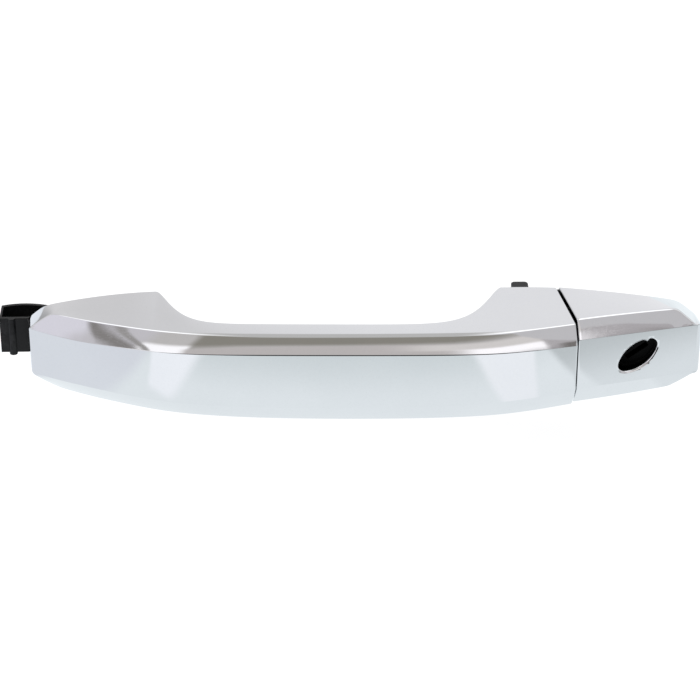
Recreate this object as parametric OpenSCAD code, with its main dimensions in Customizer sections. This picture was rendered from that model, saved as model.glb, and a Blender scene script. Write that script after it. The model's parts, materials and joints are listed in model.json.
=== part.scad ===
/* [Grip outline] */
// X of the grip's front end, measured well ahead of its outer face
front_x = -111.2; // [-113:0.1:-109]
// X of the grip's rear end, at its outer face
parting_x = 80.4; // [79:0.1:82]
// Depth of the outer face ahead of the seat plane, at mid grip
grip_depth = 38.6; // [36:0.1:40]
// Slope of the outer face towards the front end
front_slope = 0.325; // [0.28:0.005:0.38]
// Slope of the outer face towards the rear end
rear_slope = 0.275; // [0.22:0.005:0.32]
// Half height of the outer face at mid grip
face_half = 10.75; // [10:0.05:11.5]
// Half height of the whole grip at its tallest
body_half = 16.95; // [16.3:0.05:17.5]
// Depth of the upper and lower bevels at mid grip
bevel_depth = 3.6; // [3:0.1:4.2]
// Wall of the plated shells
shell_wall = 1.6; // [1.3:0.1:1.8]

/* [Finger gap] */
// X of the front end of the finger gap
gap_front = -69.75; // [-72:0.25:-67]
// X of the rear end of the finger gap
gap_rear = 55.25; // [53:0.25:58]
// Depth of the finger gap, ahead of the seat plane
gap_depth = 26; // [24:0.5:26.5]

/* [End cap] */
// X of the cap's rear end
cap_end_x = 124.6; // [123:0.1:126]
// Width of the parting gap between grip and cap
parting_gap = 1.0; // [0.6:0.1:1.4]
// Half length of the oval keyhole
key_half_length = 8.6; // [7.5:0.1:9.5]
// Half width of the oval keyhole
key_half_width = 5.1; // [4.5:0.1:5.6]
// Tilt of the keyhole, rising towards the rear
key_tilt = 38; // [25:1:45]

/* [Door side] */
// Stack of gasket and door skin between the seat plane and the carrier
stack = 2.4; // [2.2:0.1:2.8]
// X of each carrier bolt hole, either side of the origin
bolt_x = 80; // [78:0.5:81]
// Radius of the carrier bolt holes
bolt_r = 2.7; // [2.2:0.1:3]
// Radius of the hinge pin
pin_r = 2.2; // [1.8:0.1:2.3]
// Radius of the lock housing
housing_r = 8.4; // [8:0.1:8.6]
// Radius of the lock plug
plug_r = 5.6; // [5:0.1:6]

/* [Hidden] */
$fn = 48;

chrome = [0.86, 0.87, 0.89];
black = [0.06, 0.06, 0.065];
rubber = [0.04, 0.04, 0.04];
steel = [0.6, 0.61, 0.62];

// The seat plane is where the feet of the handle meet the gaskets.
seat_y = -stack;
fit = 0.05;

// Smaller of two values, with the corner between them rounded off.
function soft_min(a, b, r) = -r * ln(exp(-a / r) + exp(-b / r));

// Zero before u = 0 and rising after it, with a rounded start.
function ease(u, w) = (sqrt(u * u + w * w) + u) / 2;

// Outer face in plan: nearly straight at mid grip, falling away towards both ends.
function face_depth(x) = grip_depth - 0.000286 * pow(x - 40, 2) - front_slope * ease(-65.2 - x, 15.3)
    - rear_slope * ease(x - 54.1, 16.5) - 0.0043 * pow(max(0, -90 - x), 2);

// Half heights of the face, of the crease above it and of the seat, and the bevel's depth.
function grip_face_half(x) = max(9.1, face_half - 0.0002 * pow(x + 6, 2));
function grip_crease_half(x) = soft_min(body_half - 0.00015 * pow(x - 8, 2), 9.8 + 0.6 * (x + 115), 0.5);
function grip_bevel(x) = bevel_depth + 0.014 * (sqrt(pow(x + 35, 2) + 100) - (x + 35));
function grip_seat_half(x) = soft_min(body_half - 0.005 * pow(max(0, -66 - x), 1.84)
    - 0.0018 * pow(max(0, x - 60), 2), 6.4 + 0.9 * (x + 116.5), 0.8);

function cap_depth(x) = 27.42 - 0.2475 * (x - 82);
function cap_face_half(x) = 10.04 - 0.009 * (x - 82);
function cap_crease_half(x) = max(cap_face_half(x) + 0.3,
    soft_min(16.75 - 0.0008 * pow(x - 84, 2), 10.56 + 0.79 * (123.5 - x), 0.5));
function cap_bevel(x) = 3.45;
function cap_seat_half(x) = soft_min(16.05 - 0.105 * (x - 82) - 0.001 * pow(x - 82, 2),
    4.2 + 0.88 * (127.2 - x), 0.8);

// The ends lean: the seat reaches further out than the face, so that the grip can swing past the cap.
lean = 5.3 / 31;
function leaned(x, depth, w) = x - w * lean * (31 - depth);
function share(a, b, x) = max(0, min(1, (x - a) / (b - a)));
function grip_lean(x) = share(54, parting_x - shell_wall, x) + share(-100, front_x, x);
cap_start = parting_x + parting_gap;
function cap_lean(x) = share(100, cap_start + shell_wall, x) - 0.5 * share(112, cap_end_x, x);

// Section sizes at X: depth, face half, crease half, bevel, seat half.
function grip_sizes(x) = let (w = grip_lean(x), f = leaned(x, face_depth(x), w), d = face_depth(f))
    [d, grip_face_half(f), grip_crease_half(leaned(x, d - grip_bevel(f), w)), grip_bevel(f),
     grip_seat_half(leaned(x, 0, w))];
function cap_sizes(x) = let (w = cap_lean(x), f = leaned(x, cap_depth(x), w), d = cap_depth(f))
    [d, cap_face_half(f), cap_crease_half(leaned(x, d - cap_bevel(f), w)), cap_bevel(f),
     cap_seat_half(leaned(x, 0, w))];

// Upper half of one cross-section as depth and height: seat edge, crease, face edge.
function upper_half(s, back) = let (full = s[3] * min(1, (s[2] - s[1]) / 5.5))
    [[back, s[4]], [s[0] - full, s[2]], [s[0], s[1]]];

// The same corners moved in by the wall, or drawn back to a shallow recess where closed.
function inner_half(s, back, t, closed) =
    let (full = s[3] * min(1, (s[2] - s[1]) / 5.5), sh = max(s[4] - t, 1.4))
    let (c = max(s[2] - t, 1.2), f = max(s[1] - 0.6 * t, 0.8))
    closed
        ? [[back, sh], [back + 0.2, c * 0.8], [back + 0.2, f * 0.5]]
        : [[back, sh], [max(s[0] - full - 0.75 * t, back + 0.2), c], [s[0] - t, f]];

// Corners of a whole cross-section in space, from the upper back edge round to the lower one.
function corners(x, w, half) = [
    for (p = half) [leaned(x, p[0], w), seat_y - p[0], p[1]],
    for (i = [2 : -1 : 0]) [leaned(x, half[i][0], w), seat_y - half[i][0], -half[i][1]]];

// Closed skin between an outer and an inner row of corners at every station.
module shell(outer, inner) {
    n = len(outer);
    m = len(outer[0]);
    ring = 2 * m;
    points = [for (i = [0 : n - 1]) each concat(outer[i], [for (j = [m - 1 : -1 : 0]) inner[i][j]])];
    sides = [for (i = [0 : n - 2]) for (j = [0 : ring - 1])
        let (a = i * ring + j, b = i * ring + (j + 1) % ring)
        each [[a, b, b + ring], [a, b + ring, a + ring]]];
    start = [for (j = [0 : m - 2]) each [[j + 1, j, ring - 1 - j], [j + 1, ring - 1 - j, ring - 2 - j]]];
    last = (n - 1) * ring;
    end = [for (t = start) [last + t[0], last + t[2], last + t[1]]];
    polyhedron(points, concat(start, sides, end), convexity = 8);
}

function steps(from, to, count) = [for (i = [0 : count]) from + (to - from) * i / count];

// Back of the grip: a bay between the two feet, rounded where it leaves them.
function rise(u, length) = pow(1 - exp(-max(0, u) / length), 1.85);
function bay(x, grow) = (gap_depth + 0.03 * x + grow) * rise(x - gap_front + grow, 5.75)
    * rise(gap_rear - x + grow, 7);
bay_stations = concat([for (i = [0 : 22]) gap_front + 32 * pow(i / 22, 1.6)],
    steps(-32, 18, 6), [for (i = [22 : -1 : 0]) gap_rear - 32 * pow(i / 22, 1.6)]);

grip_stations = concat([front_x, front_x + shell_wall, front_x + shell_wall + 0.05],
    steps(-108, -70.5, 14), bay_stations, steps(56, parting_x - shell_wall - 0.05, 8),
    [parting_x - shell_wall, parting_x]);
function grip_closed(x) = x <= front_x + shell_wall || x >= parting_x - shell_wall;

cap_stations = concat([cap_start, cap_start + shell_wall, cap_start + shell_wall + 0.05],
    steps(86, 112, 8), steps(114, cap_end_x - shell_wall - 0.05, 7),
    [cap_end_x - shell_wall, cap_end_x]);
function cap_closed(x) = x <= cap_start + shell_wall || x >= cap_end_x - shell_wall;

// Upright prism on a plan outline, drawn in X and Y.
module prism(points, half) {
    translate([0, 0, -half]) linear_extrude(2 * half) polygon(points);
}

// Block between two corners.
module block(low, high) {
    translate(low) cube(high - low);
}

// Cylinder along Y, from y0 to y1.
module rod_y(x, z, r, y0, y1) {
    translate([x, y0, z]) rotate([-90, 0, 0]) cylinder(r = r, h = y1 - y0);
}

// Cylinder along X, from x0 to x1.
module rod_x(y, z, r, x0, x1) {
    translate([x0, y, z]) rotate([0, 90, 0]) cylinder(r = r, h = x1 - x0);
}

module grip_cover() {
    color(chrome) shell(
        [for (x = grip_stations) corners(x, grip_lean(x), upper_half(grip_sizes(x), bay(x, 0)))],
        [for (x = grip_stations) corners(x, grip_lean(x),
            inner_half(grip_sizes(x), bay(x, 0), shell_wall, grip_closed(x)))]);
}

// The liner closes the finger side and the backs of both feet.
liner_wall = 2;
neck = [-110, -100];
leg = [61.8, 68.2];
arm_z = [-9.3, 4.8];
leg_z = [-13, 1];
foot_screws = [[-86, 0], [57.2, 5]];
pad_spots = [[-97, 8.5], [-97, -8.5], [71.1, 10], [71.1, -10]];
pad_r = 2.2;
shank_r = 1.45;
head_r = 2.9;

liner_stations = concat(steps(front_x + shell_wall + 0.6, -70.5, 14), bay_stations,
    steps(56, parting_x - shell_wall - 0.4, 8));
function liner_half(x) = min(grip_sizes(x)[4], grip_sizes(x)[2]) - shell_wall - 0.1;

// Plate that follows the back of the grip, drawn as a loft of flat sections.
module liner_plate() {
    rows = [for (x = liner_stations) let (w = grip_lean(x), h = liner_half(x), d = bay(x, 0) + 0.05,
        e = max(bay(x, liner_wall), liner_wall))
        [[leaned(x, d, w), seat_y - d, h], [leaned(x, e, w), seat_y - e, h],
         [leaned(x, e, w), seat_y - e, -h], [leaned(x, d, w), seat_y - d, -h]]];
    n = len(rows);
    sides = [for (i = [0 : n - 2]) for (j = [0 : 3]) let (a = 4 * i + j, b = 4 * i + (j + 1) % 4)
        each [[a, b, b + 4], [a, b + 4, a + 4]]];
    polyhedron([for (r = rows) each r], concat([[0, 3, 1], [1, 3, 2]], sides,
        [[4 * n - 4, 4 * n - 3, 4 * n - 1], [4 * n - 3, 4 * n - 2, 4 * n - 1]]), convexity = 6);
}

module grip_liner() {
    color(black) difference() {
        liner_plate();
        block([neck[0] - 0.3, seat_y - 5, -6.2], [neck[1] + 0.3, seat_y + 5, 3.2]);
        block([leg[0] - 0.3, seat_y - 5, -11.3], [leg[1] + 0.3, seat_y + 5, leg_z[1] + 0.3]);
        for (s = foot_screws) {
            rod_y(s[0], s[1], head_r + 0.2, seat_y - 1.2, seat_y + 5);
            rod_y(s[0], s[1], shank_r + 0.35, seat_y - 5, seat_y + 5);
        }
        for (p = pad_spots) rod_y(p[0], p[1], pad_r + 0.1, seat_y - 1, seat_y + 5);
    }
}

// Load-bearing strap from the hinge neck to the rear leg.
core_half = 7;
function core_front(x) = seat_y - face_depth(x) + 3.2;
function core_back(x) = seat_y - max(bay(x, liner_wall + 0.7), liner_wall) - 0.1;

module grip_core() {
    front = [for (x = steps(neck[1], leg[0], 60)) [x, core_front(x)]];
    back = [for (x = steps(leg[0], neck[1], 80)) [x, core_back(x)]];
    color(black) difference() {
        prism(concat(front, back), core_half);
        for (s = foot_screws) rod_y(s[0], s[1], shank_r + fit, seat_y - 12, seat_y);
        for (x = [-88 : 12 : 50]) block([x - 3.5, -50, 2], [x + 3.5, 0, core_half + 1]);
        for (x = [-88 : 12 : 50]) block([x - 3.5, -50, -core_half - 1], [x + 3.5, 0, -2]);
    }
}

// Hinge arm: an open-topped pocket around the pin, and a neck into the front foot.
arm_x = [-127.4, -104];
arm_y = [seat_y + 2.6, seat_y + 14.1];
arm_wall = 1.4;
pin_at = [-119, seat_y + 8.35];
bush_r = 3.6;

module arm_plan(inset) {
    neck_slope = [[-112, arm_y[0] + inset], [-108, arm_y[0] + inset + 2.2], [-100, arm_y[0] + inset + 2.2],
        [-100, arm_y[0] + 30], [-130, arm_y[0] + 30], [-130, arm_y[0] + inset]];
    intersection() {
        polygon(neck_slope);
        translate([arm_x[0] + inset * 0.6, arm_y[0] + inset])
            square([arm_x[1] - arm_x[0] - inset * 1.6, 20]);
        translate([pin_at[0], arm_y[1] - 24]) circle(r = 24 - inset, $fn = 96);
    }
}

module hinge_arm() {
    color(black) difference() {
        union() {
            translate([0, 0, arm_z[0]]) linear_extrude(arm_z[1] - arm_z[0]) arm_plan(0);
            translate([-123, arm_y[0] + 0.5, arm_z[0] - 0.8]) cylinder(r = 1.5, h = arm_z[1] - arm_z[0] + 0.8);
            block([neck[0], seat_y - 9, -5.9], [neck[1], arm_y[0] + 4, 2.9]);
        }
        translate([0, 0, arm_z[0] + 3]) linear_extrude(20) difference() {
            arm_plan(arm_wall);
            translate([-109.5, -20]) square([20, 60]);
        }
        translate([pin_at[0], pin_at[1], -20]) cylinder(r = bush_r, h = 16);
    }
}

// Wear bush pressed into the arm's floor, standing up inside the pocket.
module hinge_bush() {
    color([0.85, 0.84, 0.78]) translate([pin_at[0], pin_at[1], arm_z[0] - 0.2]) difference() {
        cylinder(r = bush_r, h = 6.7);
        translate([0, 0, -1]) cylinder(r = pin_r + fit, h = 8);
    }
}

// Rear leg: a flat blade with a tall slot that draws the bellcrank's roller.
leg_end = seat_y + 33.6;
slot_y = seat_y + 28;
roller_r = 2.1;
slot_play = 0.7;

module rear_leg() {
    color(black) difference() {
        union() {
            block([leg[0], seat_y - 12, -11], [leg[1], seat_y + 2, leg_z[1]]);
            block([leg[0], seat_y + 0.2, leg_z[0]], [leg[1], leg_end - 1.5, leg_z[1]]);
            block([leg[0] + 1.5, leg_end - 4, leg_z[0]], [leg[1] - 1.5, leg_end, leg_z[1]]);
            for (x = [leg[0] + 1.5, leg[1] - 1.5])
                translate([x, leg_end - 1.5, leg_z[0]]) cylinder(r = 1.5, h = leg_z[1] - leg_z[0]);
        }
        block([leg[0] - 1, slot_y - roller_r - slot_play, leg_z[0] - 1],
            [leg[1] + 1, slot_y + roller_r + slot_play, -5.4]);
        block([leg[0] + 2, seat_y + 3, leg_z[0] + 2], [leg[1] + 1, seat_y + 22, leg_z[1] - 2]);
    }
}

module foot_pads() {
    color(rubber) for (p = pad_spots) rod_y(p[0], p[1], pad_r, seat_y - 1, seat_y - 0.05);
}

// Pan-head screw along Y, its head towards the door.
module foot_screw(spot) {
    color(steel) difference() {
        union() {
            rod_y(spot[0], spot[1], shank_r, seat_y - 11, seat_y - 1);
            rod_y(spot[0], spot[1], head_r, seat_y - 1.2, seat_y - 0.3);
        }
        for (a = [0, 90]) translate([spot[0], seat_y - 0.3, spot[1]]) rotate([0, a, 0])
            cube([3.4, 1.2, 0.7], center = true);
    }
}

module grip_screw_front() {
    foot_screw(foot_screws[0]);
}

module grip_screw_rear() {
    foot_screw(foot_screws[1]);
}

// Lock: keyhole, guide, housing and plug share one axis along Y.
lock_x = 103;
lock_z = 0.4;
housing_front = seat_y - 16.6;
housing_back = seat_y + 8;
guide_front = seat_y - 19.6;

// Oval of four arcs: small ones at the ends, large ones along the sides.
module oval(length, width, h) {
    end_r = 0.6 * width;
    reach = length - end_r;
    side_r = (pow(reach, 2) + pow(width, 2) - pow(end_r, 2)) / (2 * (width - end_r));
    meet = reach * side_r / (side_r - end_r);
    linear_extrude(h) {
        intersection() {
            square([2 * meet, 2 * width], center = true);
            translate([0, side_r - width]) circle(r = side_r, $fn = 96);
            translate([0, width - side_r]) circle(r = side_r, $fn = 96);
        }
        for (s = [-1, 1]) translate([s * reach, 0]) circle(r = end_r);
    }
}

// Lays an oval out in the face plane and drives it along Y.
module key_oval(length, width, y0, y1) {
    translate([lock_x, y1, lock_z]) rotate([90, 0, 0]) rotate([0, 0, key_tilt])
        oval(length, width, y1 - y0);
}

// Flat slot for the key's blade, along the oval.
module key_slot(half_width, half_length, y0, y1) {
    translate([lock_x, y0, lock_z]) rotate([0, -key_tilt, 0])
        translate([-half_length, 0, -half_width]) cube([2 * half_length, y1 - y0, 2 * half_width]);
}

module cap_shell() {
    color(chrome) difference() {
        shell(
            [for (x = cap_stations) corners(x, cap_lean(x), upper_half(cap_sizes(x), 0))],
            [for (x = cap_stations) corners(x, cap_lean(x),
                inner_half(cap_sizes(x), 0, shell_wall, cap_closed(x)))]);
        key_oval(key_half_length, key_half_width, seat_y - 40, seat_y - 12);
    }
}

// Inner frame of the cap: it stands on the carrier and clamps the lock housing.
frame_x = [85, 112.4];
frame_stem_x = [[85, 91], [107.5, 112.4]];

module cap_frame() {
    color(black) difference() {
        union() {
            block([frame_x[0], seat_y - 13, -8.8], [frame_x[1], seat_y - 0.5, 8.8]);
            for (s = frame_stem_x) block([s[0], seat_y - 2, -6], [s[1], 0, 6]);
        }
        rod_y(lock_x, lock_z, housing_r + fit, -40, 20);
        block([frame_x[0] + 2, seat_y - 11, -6.8], [lock_x - housing_r - 2.5, seat_y + 4, -1]);
        block([frame_x[0] + 2, seat_y - 11, 1], [lock_x - housing_r - 2.5, seat_y + 4, 6.8]);
    }
}

// Funnel behind the keyhole with the key's slot in it.
module key_guide() {
    color(black) difference() {
        union() {
            key_oval(key_half_length - 0.3, key_half_width - 0.3, guide_front + 0.6, housing_front);
            rod_y(lock_x, lock_z, housing_r, housing_front - 1.2, housing_front);
        }
        key_oval(key_half_length - 1.3, key_half_width - 1.3, guide_front - 5, housing_front - 1.8);
        key_slot(0.9, 4.6, guide_front - 5, housing_front + 5);
    }
}

groove_y = [2.8, 4.2];

module lock_housing() {
    color(steel) difference() {
        rod_y(lock_x, lock_z, housing_r, housing_front, housing_back);
        rod_y(lock_x, lock_z, plug_r + fit, housing_front - 1, housing_back + 1);
        difference() {
            rod_y(lock_x, lock_z, housing_r + 2, groove_y[0], groove_y[1]);
            rod_y(lock_x, lock_z, housing_r - 1, groove_y[0] - 1, groove_y[1] + 1);
        }
    }
}

// Spring-steel fork that holds the housing against the carrier.
clip_y = [2.85, 4.1];

module lock_clip() {
    color(steel) difference() {
        block([lock_x - 11, clip_y[0], -9.1], [lock_x + 11, clip_y[1], 6]);
        rod_y(lock_x, lock_z, housing_r - 0.95, -1, 10);
        block([lock_x - housing_r + 0.95, -1, lock_z], [lock_x + housing_r - 0.95, 10, 20]);
    }
}

lever_length = 11;

module lock_plug() {
    color([0.72, 0.7, 0.62]) difference() {
        union() {
            rod_y(lock_x, lock_z, plug_r, housing_front + 0.3, housing_back + 0.4);
            rod_y(lock_x, lock_z, 2.4, housing_back, housing_back + 4);
        }
        key_slot(0.7, 4.2, housing_front - 4, housing_front + 20);
        block([lock_x - 3, housing_back + 1.2, lock_z + 1.7], [lock_x + 3, housing_back + 6, lock_z + 4]);
    }
}

module tail_lever() {
    y0 = housing_back + 1.2;
    color(steel) difference() {
        hull() {
            rod_y(lock_x, lock_z, 4.2, y0, y0 + 1.8);
            rod_y(lock_x - lever_length, lock_z, 2.4, y0, y0 + 1.8);
        }
        difference() {
            rod_y(lock_x, lock_z, 2.45, y0 - 1, y0 + 4);
            block([lock_x - 3, y0 - 2, lock_z + 1.75], [lock_x + 3, y0 + 5, lock_z + 4]);
        }
        rod_y(lock_x - lever_length, lock_z, 1.3, y0 - 1, y0 + 4);
    }
}

// Gaskets follow the feet's outlines, drawn in X and Z, with the passages cut out.
module gasket(points) {
    translate([0, seat_y + 1.5, 0]) rotate([90, 0, 0]) linear_extrude(1.45) polygon(points);
}

module front_gasket() {
    y = [seat_y - 1, seat_y + 3];
    color(rubber) difference() {
        gasket([[-112.5, 4.5], [-108, 8.5], [-98, 11.5], [-70, 13], [-70, -13], [-98, -11.5],
            [-108, -8.5], [-112.5, -4.5]]);
        block([-111, y[0], -6.6], [-96, y[1], 4]);
        block([-92, y[0], -9], [-74, y[1], 9]);
    }
}

module rear_gasket() {
    y = [seat_y - 1, seat_y + 3];
    color(rubber) difference() {
        gasket([[55, 15], [76, 15], [112, 9.3], [118.5, 4.5], [118.5, -4.5], [112, -9.3],
            [76, -15], [55, -15]]);
        block([58.8, y[0], leg_z[0] - 0.5], [71.2, y[1], 5]);
        block([74, y[0], -8], [82.5, y[1], 8]);
        rod_y(lock_x, lock_z, housing_r + 0.6, y[0], y[1]);
        for (s = frame_stem_x) block([s[0] - 0.3, y[0], -6.3], [s[1] + 0.3, y[1], 6.3]);
    }
}

// Carrier: ribbed channel behind the door skin that holds hinge, lock and bellcrank.
beam_x = [-108, 114];
beam_z = [-22, -9.9];
beam_y = 12;
web = 2;
crank_at = [seat_y + 18.25, -26];
ear_x = [[55.5, 58], [74, 76.5]];

module carrier_ear(x) {
    hull() {
        rod_x(crank_at[0], crank_at[1], 5, x[0], x[1]);
        block([x[0], 2, -21], [x[1], 14, -15]);
    }
}

module carrier() {
    color(black) difference() {
        union() {
            block([beam_x[0], 0, beam_z[0]], [beam_x[1], web, beam_z[1]]);
            block([beam_x[0], 0, beam_z[1] - web], [58, beam_y, beam_z[1]]);
            block([74, 0, beam_z[1] - web], [beam_x[1], beam_y / 2, beam_z[1]]);
            block([beam_x[0], 0, beam_z[0]], [beam_x[1], beam_y, beam_z[0] + web]);
            for (x = [-96 : 16 : 48]) block([x, 0, beam_z[0]], [x + 1.6, beam_y - 1, beam_z[1]]);
            for (x = ear_x) carrier_ear(x);
            for (x = [-bolt_x, bolt_x]) {
                rod_y(x, 0, 7, 0, 2.5);
                rod_y(x, 0, 4.6, 0, 5);
                block([x - 7, 0, beam_z[1] - 1], [x + 7, 2.5, 0]);
            }
            block([84, 0, beam_z[1] - 1], [112.4, 2.5, 7]);
            block([-116, 3, -14], [beam_x[0] + 4, beam_y, beam_z[1]]);
            hinge_shelf();
            block([104, 0, beam_z[0]], [beam_x[1], beam_y, beam_z[1]]);
            block([117, 0, beam_z[0]], [119, beam_y, -10]);
            block([beam_x[1] - 2, 0, beam_z[0]], [118, beam_y, beam_z[0] + web]);
            block([beam_x[1] - 2, 0, beam_z[0]], [118, web, -10]);
        }
        for (x = [-bolt_x, bolt_x]) rod_y(x, 0, bolt_r, -5, 20);
        rod_y(lock_x, lock_z, housing_r + fit, -5, 20);
        translate([pin_at[0], pin_at[1], -30]) cylinder(r = pin_r, h = 40);
        rod_x(crank_at[0], crank_at[1], axle_r, 50, 80);
        rod_x(screw_at[0], screw_at[1], insert_r, 100, 116);
        rod_x(screw_at[0], screw_at[1], screw_r + 0.2, 100, 125);
        block([58.6, -1, -17], [73.4, beam_y + 5, beam_z[1] + 1]);
        block([69.4, web, beam_z[0] - 1], [73.4, beam_y + 5, beam_z[1] + 1]);
    }
}

// Shelf under the arm, thin at its outer edge, with the pin's hole.
module hinge_shelf() {
    translate([-124, 0, 0]) rotate([90, 0, 90]) linear_extrude(18)
        polygon([[3.2, beam_z[1]], [3.2, -10.8], [6.6, -12.6], [beam_y, -12.6], [beam_y, beam_z[1]]]);
}

module hinge_pin() {
    color(steel) translate([pin_at[0], pin_at[1], 0]) {
        translate([0, 0, -10.7]) cylinder(r = pin_r, h = 9);
        translate([0, 0, -2.2]) cylinder(r = pin_r + 0.9, h = 0.9);
    }
}

// Screw that is driven from the door's shut face, and the insert it bites.
screw_at = [6, -15.4];
screw_r = 2;
insert_r = 2.8;

module cap_screw() {
    color(steel) difference() {
        union() {
            rod_x(screw_at[0], screw_at[1], screw_r, 106, 119);
            rod_x(screw_at[0], screw_at[1], 3.8, 119, 121.6);
        }
        translate([120.2, screw_at[0], screw_at[1]]) rotate([0, 90, 0]) cylinder(r = 1.9, h = 3, $fn = 6);
    }
}

module screw_insert() {
    color([0.78, 0.62, 0.3]) difference() {
        union() {
            rod_x(screw_at[0], screw_at[1], insert_r, 106, 114);
            rod_x(screw_at[0], screw_at[1], 3.6, 114, 114.8);
        }
        rod_x(screw_at[0], screw_at[1], screw_r, 100, 120);
    }
}

// Bellcrank: hub on an X axle, roller arm, output arm and counterweight arm.
axle_r = 1.6;
crank_r = 17;
crank_rest = 55.3;
output_r = 15;
output_rest = -48;
weight_rest = 232;
arm_slice = [70, 72.6];

function on_crank(r, angle) = [crank_at[0] + r * cos(angle), crank_at[1] + r * sin(angle)];
roller_at = on_crank(crank_r, crank_rest);
output_at = on_crank(output_r, output_rest);
eye_r = 2;
stem_r = eye_r - 0.02;
weight_at = on_crank(10.2, weight_rest);

module crank_arm(spot, r) {
    hull() {
        rod_x(crank_at[0], crank_at[1], 4.4, arm_slice[0], arm_slice[1]);
        rod_x(spot[0], spot[1], r, arm_slice[0], arm_slice[1]);
    }
}

module bellcrank() {
    color([0.14, 0.14, 0.15]) difference() {
        union() {
            rod_x(crank_at[0], crank_at[1], 4, 58.6, 73.4);
            crank_arm(roller_at, 3);
            crank_arm(output_at, 3.2);
            crank_arm(weight_at, 3.6);
            rod_x(roller_at[0], roller_at[1], roller_r, 60.6, 71);
        }
        rod_x(crank_at[0], crank_at[1], axle_r + fit, 50, 90);
        rod_x(output_at[0], output_at[1], eye_r, 50, 90);
        rod_x(weight_at[0], weight_at[1], eye_r, 50, 90);
    }
}

module counterweight() {
    color(steel) {
        rod_x(weight_at[0], weight_at[1], 4.4, 59.5, 69.9);
        rod_x(weight_at[0], weight_at[1], stem_r, 69, 73);
    }
}

// Snap clip for the latch rod, turned into the output arm.
module rod_clip() {
    color([0.8, 0.8, 0.76]) difference() {
        union() {
            rod_x(output_at[0], output_at[1], stem_r, 69, 74);
            rod_x(output_at[0], output_at[1], 3.4, 64, 69.9);
        }
        rod_x(output_at[0], output_at[1], 1.25, 60, 80);
    }
}

module crank_axle() {
    color(steel) {
        rod_x(crank_at[0], crank_at[1], axle_r, 54.9, 77.6);
        rod_x(crank_at[0], crank_at[1], axle_r + 1.2, 54, 54.95);
    }
}

module axle_clip() {
    color(steel) difference() {
        rod_x(crank_at[0], crank_at[1], 3.4, 76.6, 77.2);
        rod_x(crank_at[0], crank_at[1], axle_r, 70, 80);
        block([70, crank_at[0] - 1.1, crank_at[1]], [80, crank_at[0] + 1.1, crank_at[1] + 6]);
    }
}

// Torsion spring around the hub: close coils between two short legs.
coil_r = 4.75;
coil_wire = 0.45;
coil_turns = 5;

module return_spring() {
    color(steel) {
        for (i = [0 : coil_turns - 1]) translate([60.6 + 1.35 * i, crank_at[0], crank_at[1]])
            rotate([0, 90, 0]) rotate_extrude() translate([coil_r, 0]) circle(r = coil_wire, $fn = 16);
        rod_x(crank_at[0] - coil_r, crank_at[1], coil_wire * 0.9, 60.6, 66);
        block([60.2, crank_at[0] - coil_r - 0.35, crank_at[1]], [61, crank_at[0] - coil_r + 0.35, beam_z[0] - 0.1]);
    }
}

grip_cover();
grip_liner();
grip_core();
hinge_arm();
hinge_bush();
rear_leg();
foot_pads();
grip_screw_front();
grip_screw_rear();
cap_shell();
cap_frame();
key_guide();
front_gasket();
rear_gasket();
carrier();
hinge_pin();
cap_screw();
screw_insert();
lock_housing();
lock_clip();
lock_plug();
tail_lever();
crank_axle();
axle_clip();
return_spring();
bellcrank();
counterweight();
rod_clip();
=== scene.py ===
"""Outside door handle: plated grip and end cap on a moulded carrier, with hinge, lock and bellcrank."""
import json
import math

import bmesh
import bpy
from mathutils import Matrix, Vector


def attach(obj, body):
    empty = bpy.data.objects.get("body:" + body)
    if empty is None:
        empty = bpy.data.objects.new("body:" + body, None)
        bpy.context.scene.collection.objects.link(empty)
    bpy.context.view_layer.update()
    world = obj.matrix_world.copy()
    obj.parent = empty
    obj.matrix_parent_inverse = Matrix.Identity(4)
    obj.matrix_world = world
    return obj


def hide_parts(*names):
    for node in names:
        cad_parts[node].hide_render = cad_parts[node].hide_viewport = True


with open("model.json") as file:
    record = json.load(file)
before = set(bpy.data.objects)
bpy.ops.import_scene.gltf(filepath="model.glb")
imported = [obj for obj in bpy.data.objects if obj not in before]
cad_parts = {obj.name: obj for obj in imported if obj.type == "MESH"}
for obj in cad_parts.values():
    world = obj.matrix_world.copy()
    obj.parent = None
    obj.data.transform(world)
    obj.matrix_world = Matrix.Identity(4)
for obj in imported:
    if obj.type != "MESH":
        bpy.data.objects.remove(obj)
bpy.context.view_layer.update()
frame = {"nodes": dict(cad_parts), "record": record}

MM = 0.001
RECORD = frame["record"]
BODY_OF = {n: b for b, ns in RECORD["behaviour"]["bodies"].items() for n in ns}


# ---------------------------------------------------------------- camera and stage

CAMERA_SIDE = math.radians(-1.4)
CAMERA_UP = math.radians(30)
CAMERA_RANGE = 0.9
CAMERA_AIM = Vector((0, -17.4 * MM, 0))
SENSOR = 36.0
VIEW_WIDTH = 0.252
FLOOR_Z = -0.0445


def place_camera():
    back = Vector((math.sin(CAMERA_SIDE) * math.cos(CAMERA_UP),
                   -math.cos(CAMERA_SIDE) * math.cos(CAMERA_UP), math.sin(CAMERA_UP)))
    right = Vector((math.cos(CAMERA_SIDE), math.sin(CAMERA_SIDE), 0))
    up = back.cross(right)
    data = bpy.data.cameras.new("camera")
    data.sensor_width = SENSOR
    data.lens = SENSOR * CAMERA_RANGE / VIEW_WIDTH
    data.clip_start = 0.01
    camera = bpy.data.objects.new("camera", data)
    turn = Matrix((right, up, back)).transposed().to_4x4()
    camera.matrix_world = Matrix.Translation(CAMERA_AIM + back * CAMERA_RANGE) @ turn
    bpy.context.scene.collection.objects.link(camera)
    bpy.context.scene.camera = camera


place_camera()
bpy.context.scene.view_settings.view_transform = "Standard"


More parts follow.
